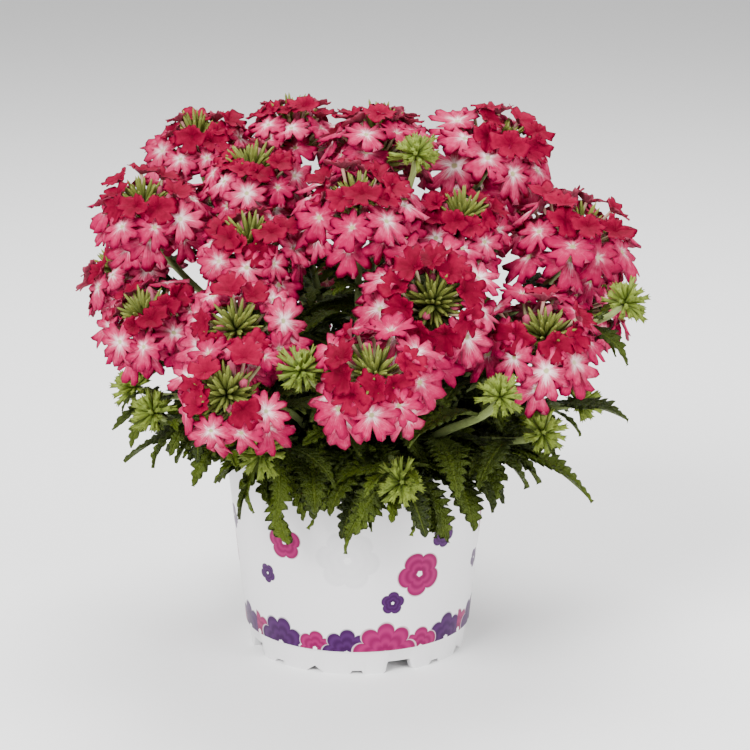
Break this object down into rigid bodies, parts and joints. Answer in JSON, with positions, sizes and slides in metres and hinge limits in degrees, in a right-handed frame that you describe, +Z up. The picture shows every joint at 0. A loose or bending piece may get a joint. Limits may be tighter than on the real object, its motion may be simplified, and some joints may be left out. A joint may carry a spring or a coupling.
{
  "type": "potted verbena",
  "caption": "Bedding verbena in a round nursery pot: domed heads of red and pink five-petalled flowers over toothed green leaves.",
  "frame": {"origin": "on the pot's axis, in the plane of its foot", "axes": "+Z up, the way the plant grows; -Y the front, the side that the plant shows; +X to the right as seen from the front"},
  "size_m": [0.268, 0.279, 0.2608],
  "materials": {
    "pot_plastic": "pale grey-white printed plastic, slightly glossy",
    "soil": "moist dark peat, crumbly and matt",
    "greenery": "hairy green stems, toothed leaves and calyces, satin",
    "petals": "soft petals, crimson in the middle of a head and coral pink outside"
  },
  "bodies": {
    "root": {"pot": "pot_plastic", "soil": "soil", "stem_left_back": "greenery", "flowers_left_back": "petals", "stem_left_top": "greenery", "flowers_left_top": "petals", "stem_left_middle": "greenery", "flowers_left_middle": "petals", "stem_top_left": "greenery", "flowers_top_left": "petals", "stem_top_middle": "greenery", "flowers_top_middle": "petals", "stem_front_middle": "greenery", "flowers_front_middle": "petals", "stem_top_right": "greenery", "flowers_top_right": "petals", "stem_right_middle": "greenery", "flowers_right_middle": "petals", "stem_right_top": "greenery", "flowers_right_top": "petals", "stem_front_left_high": "greenery", "flowers_front_left_high": "petals", "stem_front_left_mid": "greenery", "flowers_front_left_mid": "petals", "stem_left_low": "greenery", "flowers_left_low": "petals", "stem_front_left_low": "greenery", "flowers_front_left_low": "petals", "stem_front_right_mid": "greenery", "flowers_front_right_mid": "petals", "stem_front_low": "greenery", "flowers_front_low": "petals", "stem_right_low": "greenery", "flowers_right_low": "petals", "stem_back_left_high": "greenery", "flowers_back_left_high": "petals", "stem_back_high": "greenery", "flowers_back_high": "petals", "stem_back_right_high": "greenery", "flowers_back_right_high": "petals", "stem_back_left_side": "greenery", "flowers_back_left_side": "petals", "stem_back_right_side": "greenery", "flowers_back_right_side": "petals", "stem_back_left_low": "greenery", "flowers_back_left_low": "petals", "stem_back_right_low": "greenery", "flowers_back_right_low": "petals", "shoot_front": "greenery", "shoot_front_left": "greenery", "shoot_left": "greenery", "shoot_front_right": "greenery", "shoot_right": "greenery", "shoot_right_high": "greenery", "shoot_right_side": "greenery", "shoot_left_side": "greenery", "shoot_back_left": "greenery", "shoot_back_right": "greenery", "shoot_back": "greenery"}
  },
  "joints": []
}
